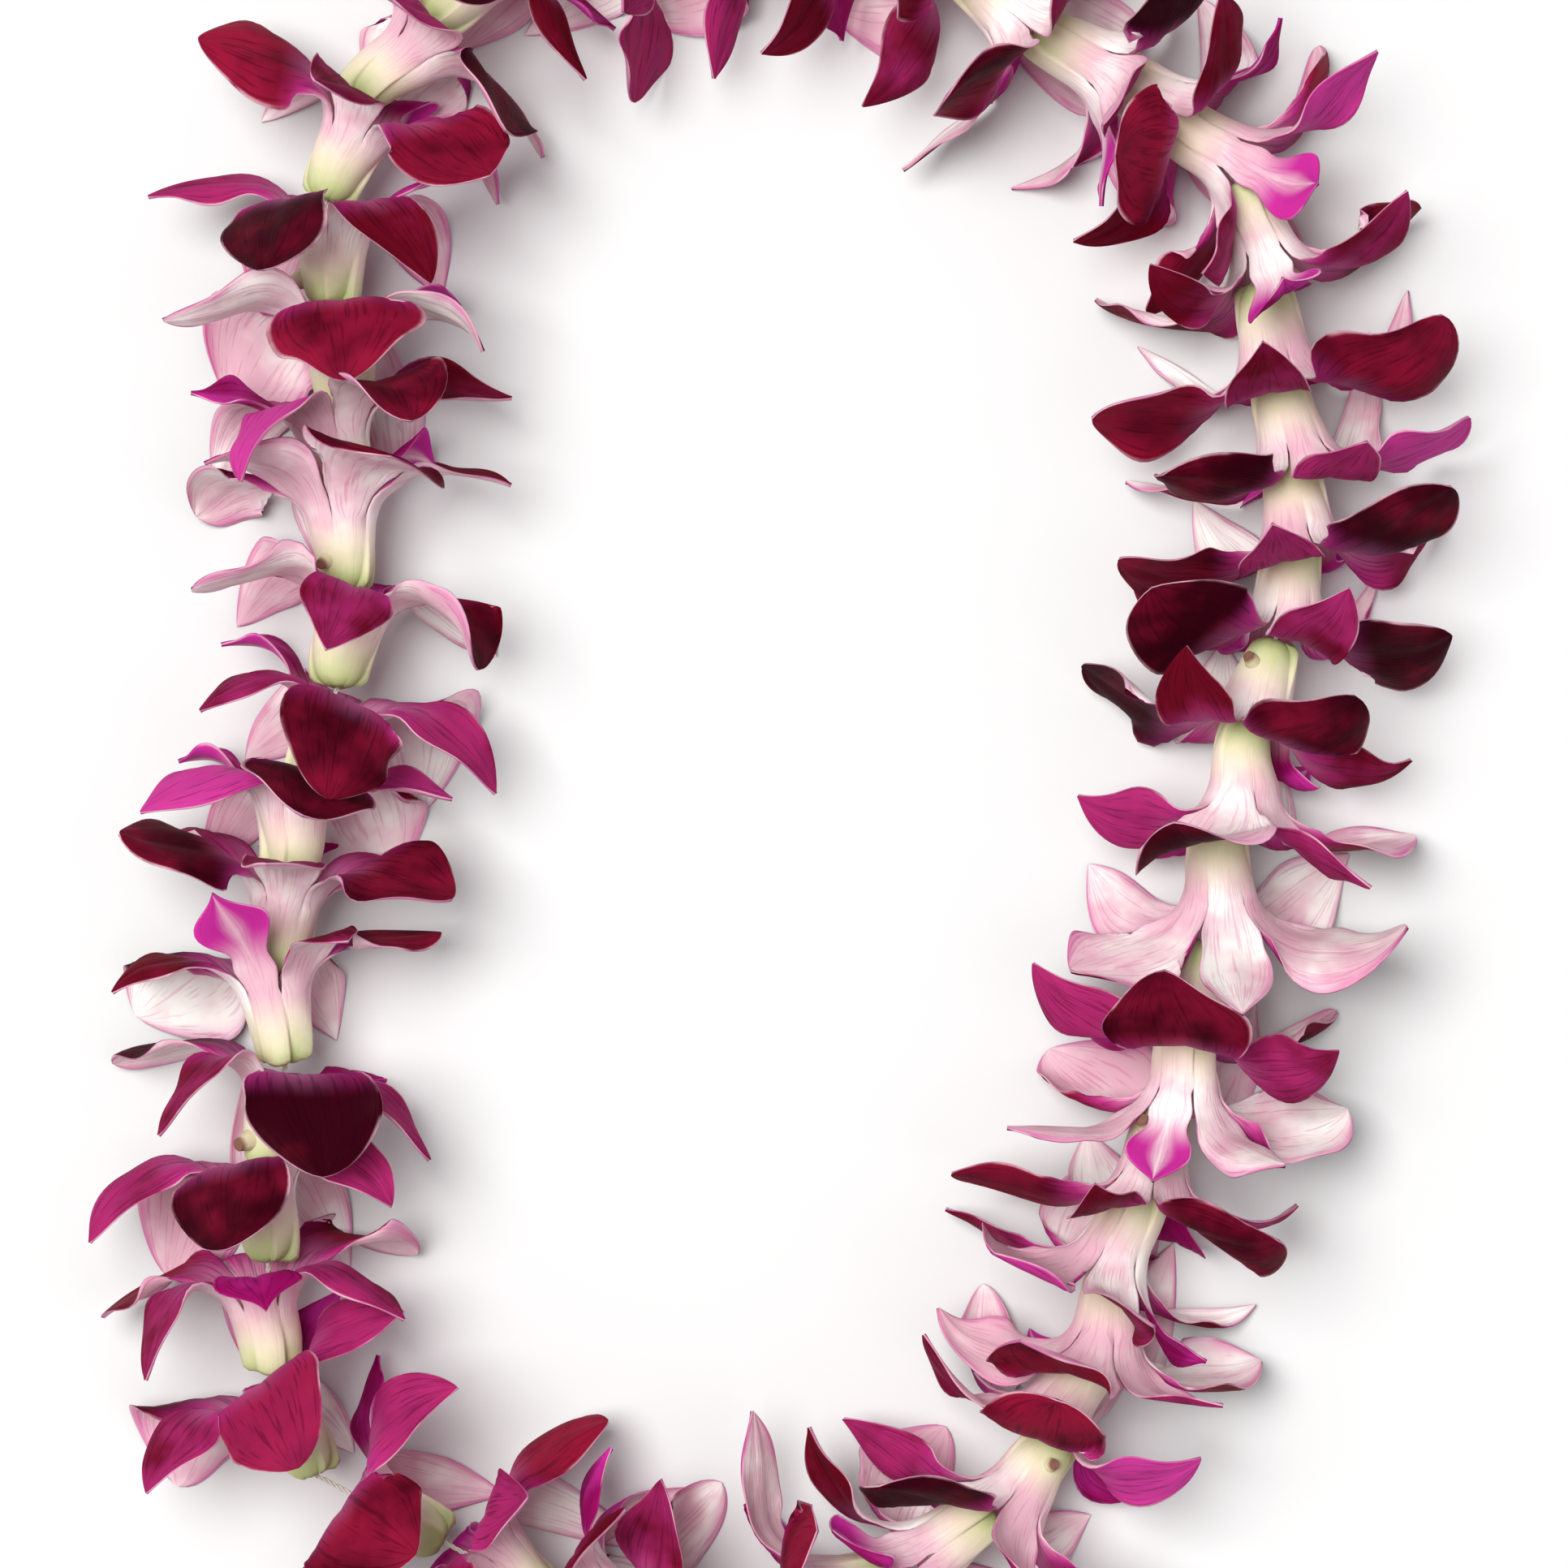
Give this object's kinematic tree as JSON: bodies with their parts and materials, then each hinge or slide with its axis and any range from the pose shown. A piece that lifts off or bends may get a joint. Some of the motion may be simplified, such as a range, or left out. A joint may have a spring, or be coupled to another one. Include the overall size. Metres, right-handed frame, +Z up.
{
  "type": "orchid lei",
  "caption": "Single-strand lei of fresh crimson and white orchid blooms nested along a tied cotton string, laid flat in an oval loop.",
  "frame": {"origin": "on the surface that the lei lies on, under the middle of its bounding box", "axes": "+Z up off the surface, +Y along the longer way of the loop, +X across it"},
  "size_m": [0.3052, 0.4546, 0.064],
  "materials": {
    "petal": "satin",
    "string": "matt"
  },
  "bodies": {
    "root": {"string": "string", "bloom_01": "petal", "bloom_02": "petal", "bloom_03": "petal", "bloom_04": "petal", "bloom_05": "petal", "bloom_06": "petal", "bloom_07": "petal", "bloom_08": "petal", "bloom_09": "petal", "bloom_10": "petal", "bloom_11": "petal", "bloom_12": "petal", "bloom_13": "petal", "bloom_14": "petal", "bloom_15": "petal", "bloom_16": "petal", "bloom_17": "petal", "bloom_18": "petal", "bloom_19": "petal", "bloom_20": "petal", "bloom_21": "petal", "bloom_22": "petal", "bloom_23": "petal", "bloom_24": "petal", "bloom_25": "petal", "bloom_26": "petal", "bloom_27": "petal", "bloom_28": "petal", "bloom_29": "petal", "bloom_30": "petal", "bloom_31": "petal", "bloom_32": "petal", "bloom_33": "petal", "bloom_34": "petal", "bloom_35": "petal", "bloom_36": "petal", "bloom_37": "petal", "bloom_38": "petal", "bloom_39": "petal", "bloom_40": "petal", "bloom_41": "petal", "bloom_42": "petal", "bloom_43": "petal", "bloom_44": "petal", "bloom_45": "petal"}
  },
  "joints": []
}
